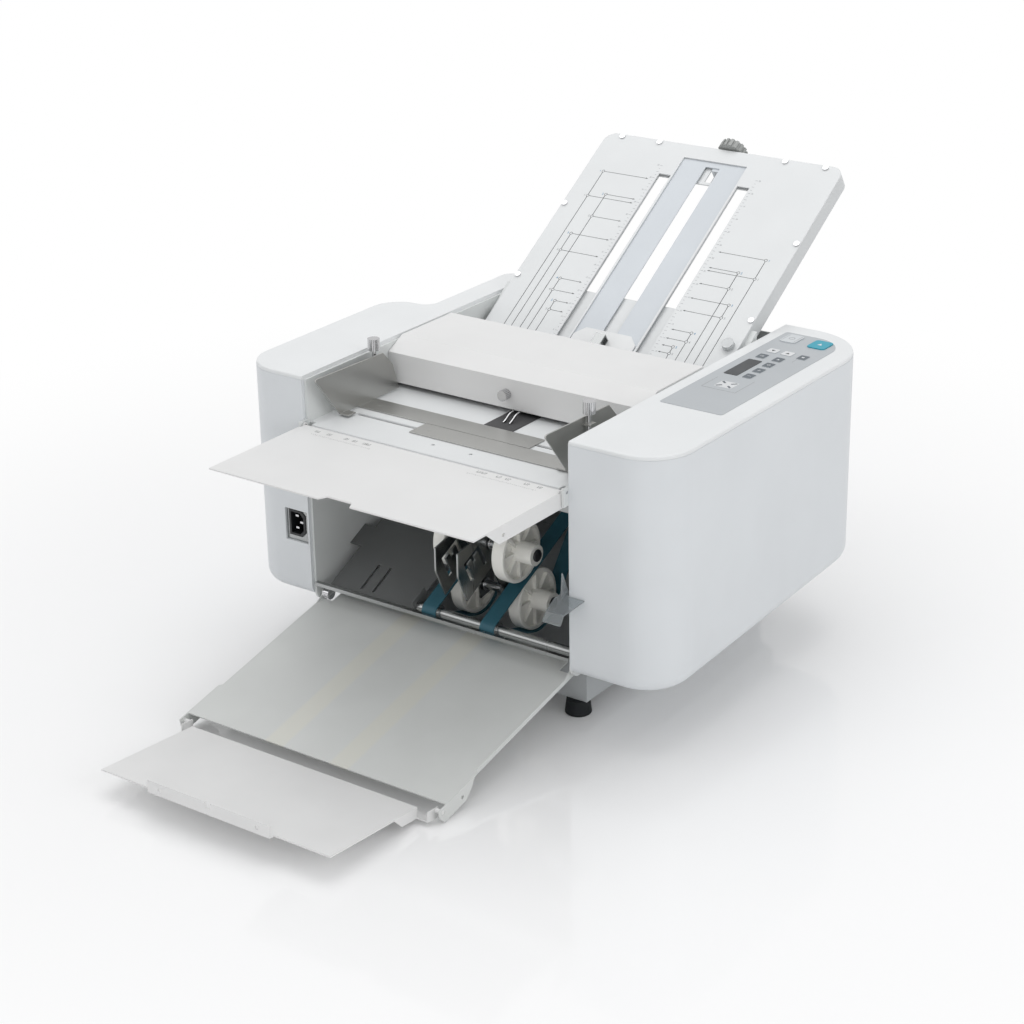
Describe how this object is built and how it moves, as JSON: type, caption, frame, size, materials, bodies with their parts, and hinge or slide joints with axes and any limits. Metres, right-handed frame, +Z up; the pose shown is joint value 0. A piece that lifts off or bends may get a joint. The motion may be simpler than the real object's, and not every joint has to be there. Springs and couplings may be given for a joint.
{
  "type": "paper folding machine",
  "caption": "Desktop paper folding machine with feed flap, side guides, sloping fold plate with stop, fold rollers, exit wheels with belts and a hinged delivery tray.",
  "frame": {"origin": "bottom centre of the whole machine's box, on the table top", "axes": "+X to the operator's right, +Y to the back, +Z up"},
  "size_m": [0.5394, 0.9515, 0.4811],
  "materials": {
    "housing_plastic": "fine satin, very pale cool grey",
    "lid_plastic": "fine satin, very pale cool grey",
    "coated_frame": "satin grey-green coat",
    "dark_pan": "satin grey coat",
    "white_sheet": "semi-gloss off-white coat",
    "warm_sheet": "semi-gloss warm off-white coat",
    "grey_sheet": "semi-gloss light grey-beige coat",
    "bright_steel": "brushed",
    "ground_steel": "ground and polished",
    "dark_steel": "brushed, dark",
    "dark_sheet": "satin dark grey coat",
    "blue_grey_steel": "satin blue-grey coat",
    "chrome": "bright",
    "feet_rubber": "matt",
    "roller_rubber": "fine matt",
    "belt_rubber": "fine matt, dark teal",
    "drive_rubber": "matt",
    "wheel_plastic": "satin ivory",
    "stop_plastic": "satin white",
    "film": "fine satin film, mid grey",
    "display": "dark smoked window",
    "stop_key": "satin pale grey",
    "start_key": "satin teal",
    "grey_knob": "satin grey",
    "clear_plastic": "clear, slightly smoked",
    "brass_bush": "sintered, dull",
    "black_plastic": "fine matt black",
    "board": "green lacquer",
    "motor_steel": "satin dark grey coat",
    "case_steel": "dull"
  },
  "bodies": {
    "machine": {"left_frame": "coated_frame", "right_frame": "coated_frame", "shaft_bushes": "brass_bush", "tie_rods": "dark_steel", "front_rail": "dark_steel", "right_housing": "housing_plastic", "left_housing": "housing_plastic", "right_lid": "lid_plastic", "left_lid": "lid_plastic", "control_film": "film", "display_window": "display", "feed_table": "white_sheet", "separator": "roller_rubber", "hinge_pins": "ground_steel", "fold_plate_face": "white_sheet", "fold_plate_rim": "white_sheet", "fold_plate_back": "bright_steel", "plate_screws": "chrome", "plate_supports": "coated_frame", "drive_belts": "drive_rubber", "conveyor_belts": "belt_rubber", "main_motor": "motor_steel", "wheel_brackets": "dark_steel", "chute_plate": "dark_sheet", "exit_deflector": "clear_plastic", "base_pan": "dark_pan", "rubber_feet": "feet_rubber", "rear_cover": "coated_frame", "inlet_panel": "dark_steel", "power_inlet": "black_plastic", "power_supply": "case_steel", "control_board": "board"},
    "flap": {"feed_flap": "warm_sheet"},
    "left_side_guide": {"left_guide": "bright_steel"},
    "left_lock": {"left_lock_screw": "chrome"},
    "right_side_guide": {"right_guide": "bright_steel"},
    "right_lock": {"right_lock_screw": "chrome"},
    "cover": {"top_cover": "warm_sheet"},
    "cover_thumbscrew": {"cover_screw": "chrome"},
    "latch": {"plate_latch": "clear_plastic"},
    "rail": {"stop_rail": "blue_grey_steel"},
    "paper_stop": {"fold_stop": "stop_plastic", "stop_clip": "chrome"},
    "wheel": {"adjust_wheel": "grey_knob"},
    "roller_upper": {"fold_roller_upper": "roller_rubber"},
    "roller_middle": {"fold_roller_middle": "roller_rubber"},
    "roller_lower": {"fold_roller_lower": "roller_rubber"},
    "roller_feed": {"feed_roller": "roller_rubber"},
    "exit_upper": {"exit_shaft_upper": "ground_steel", "exit_wheels_upper": "wheel_plastic"},
    "exit_lower": {"exit_shaft_lower": "ground_steel", "exit_wheels_lower": "wheel_plastic"},
    "conveyor_front": {"conveyor_shaft_front": "ground_steel"},
    "conveyor_rear": {"conveyor_shaft_rear": "ground_steel"},
    "motor_rotor": {"motor_shaft": "ground_steel"},
    "tray": {"delivery_tray": "grey_sheet"},
    "tray_screw": {"tray_knob": "chrome"},
    "extension": {"tray_extension": "grey_sheet"},
    "stop_push": {"stop_button": "stop_key"},
    "start_push": {"start_button": "start_key"}
  },
  "joints": [
    {"name": "flap_hinge", "type": "hinge", "parent": "machine", "child": "flap", "pos_m": [-0.01225, -0.11884, 0.2718], "axis": [-1, 0, 0], "range_deg": [0, 75]},
    {"name": "left_guide_slide", "type": "slide", "parent": "machine", "child": "left_side_guide", "axis": [1, 0, 0], "range_m": [0, 0.075]},
    {"name": "right_guide_slide", "type": "slide", "parent": "machine", "child": "right_side_guide", "axis": [-1, 0, 0], "range_m": [0, 0.09]},
    {"name": "left_lock_turn", "type": "hinge", "parent": "left_side_guide", "child": "left_lock", "pos_m": [-0.16685, -0.01334, 0.3257], "axis": [0, 0, 1], "range_deg": [-180, 180]},
    {"name": "right_lock_turn", "type": "hinge", "parent": "right_side_guide", "child": "right_lock", "pos_m": [0.13535, -0.04634, 0.3257], "axis": [0, 0, 1], "range_deg": [-180, 180]},
    {"name": "cover_hinge", "type": "hinge", "parent": "machine", "child": "cover", "pos_m": [-0.01225, 0.13166, 0.316], "axis": [-1, 0, 0], "range_deg": [0, 75]},
    {"name": "cover_screw_turn", "type": "hinge", "parent": "cover", "child": "cover_thumbscrew", "pos_m": [-0.01905, 0.02536, 0.295], "axis": [0, 1, 0], "range_deg": [-180, 180]},
    {"name": "plate_latch_turn", "type": "hinge", "parent": "machine", "child": "latch", "pos_m": [0.13575, 0.22331, 0.31996], "axis": [0, -0.5439, 0.8391], "range_deg": [0, 90]},
    {"name": "wheel_turn", "type": "hinge", "parent": "machine", "child": "wheel", "pos_m": [-0.00525, 0.45813, 0.46144], "axis": [0, 0.8391, 0.5439], "range_deg": [-240, 240]},
    {"name": "rail_slide", "type": "slide", "parent": "machine", "child": "rail", "axis": [0, 0.8391, 0.5439], "range_m": [-0.004, 0.004]},
    {"name": "stop_slide", "type": "slide", "parent": "rail", "child": "paper_stop", "axis": [0, 0.8391, 0.5439], "range_m": [0, 0.232]},
    {"name": "middle_roller_spin", "type": "hinge", "parent": "machine", "child": "roller_middle", "pos_m": [-0.01225, 0.12153, 0.23236], "axis": [1, 0, 0], "continuous": true},
    {"name": "upper_roller_spin", "type": "hinge", "parent": "machine", "child": "roller_upper", "pos_m": [-0.01225, 0.10179, 0.26282], "axis": [1, 0, 0], "continuous": true},
    {"name": "lower_roller_spin", "type": "hinge", "parent": "machine", "child": "roller_lower", "pos_m": [-0.01225, 0.09975, 0.20332], "axis": [1, 0, 0], "continuous": true},
    {"name": "feed_roller_spin", "type": "hinge", "parent": "machine", "child": "roller_feed", "pos_m": [-0.01225, 0.05366, 0.2916], "axis": [1, 0, 0], "continuous": true},
    {"name": "exit_upper_spin", "type": "hinge", "parent": "machine", "child": "exit_upper", "pos_m": [-0.01225, -0.05355, 0.15923], "axis": [1, 0, 0], "continuous": true},
    {"name": "exit_lower_spin", "type": "hinge", "parent": "machine", "child": "exit_lower", "pos_m": [-0.01225, -0.02547, 0.09383], "axis": [1, 0, 0], "continuous": true},
    {"name": "conveyor_front_spin", "type": "hinge", "parent": "machine", "child": "conveyor_front", "pos_m": [-0.01225, -0.09956, 0.08732], "axis": [1, 0, 0], "continuous": true},
    {"name": "conveyor_rear_spin", "type": "hinge", "parent": "machine", "child": "conveyor_rear", "pos_m": [-0.01225, 0.06091, 0.16515], "axis": [1, 0, 0], "continuous": true},
    {"name": "motor_spin", "type": "hinge", "parent": "machine", "child": "motor_rotor", "pos_m": [-0.01225, 0.20166, 0.142], "axis": [1, 0, 0], "continuous": true},
    {"name": "tray_hinge", "type": "hinge", "parent": "machine", "child": "tray", "pos_m": [-0.01225, -0.10234, 0.072], "axis": [-1, 0, 0], "range_deg": [0, 25]},
    {"name": "tray_knob_turn", "type": "hinge", "parent": "machine", "child": "tray_screw", "pos_m": [-0.16725, -0.10234, 0.072], "axis": [1, 0, 0], "range_deg": [-180, 180]},
    {"name": "extension_hinge", "type": "hinge", "parent": "tray", "child": "extension", "pos_m": [-0.01225, -0.32885, 0.01257], "axis": [-1, 0, 0], "range_deg": [0, 108]},
    {"name": "stop_press", "type": "slide", "parent": "machine", "child": "stop_push", "axis": [0, 0, -1], "range_m": [0, 0.0006], "stiffness_N_per_m": 800},
    {"name": "start_press", "type": "slide", "parent": "machine", "child": "start_push", "axis": [0, 0, -1], "range_m": [0, 0.0006], "stiffness_N_per_m": 800}
  ],
  "couplings": [
    {"joint": "upper_roller_spin", "follows": "middle_roller_spin", "ratio": -1},
    {"joint": "lower_roller_spin", "follows": "middle_roller_spin", "ratio": -1},
    {"joint": "feed_roller_spin", "follows": "middle_roller_spin", "ratio": -1},
    {"joint": "exit_lower_spin", "follows": "middle_roller_spin", "ratio": 0.128},
    {"joint": "exit_upper_spin", "follows": "middle_roller_spin", "ratio": -0.131},
    {"joint": "conveyor_rear_spin", "follows": "middle_roller_spin", "ratio": 0.5},
    {"joint": "conveyor_front_spin", "follows": "middle_roller_spin", "ratio": 0.5},
    {"joint": "motor_spin", "follows": "middle_roller_spin", "ratio": 1.2},
    {"joint": "wheel_turn", "follows": "rail_slide", "rad_per_m": 1047.2}
  ]
}
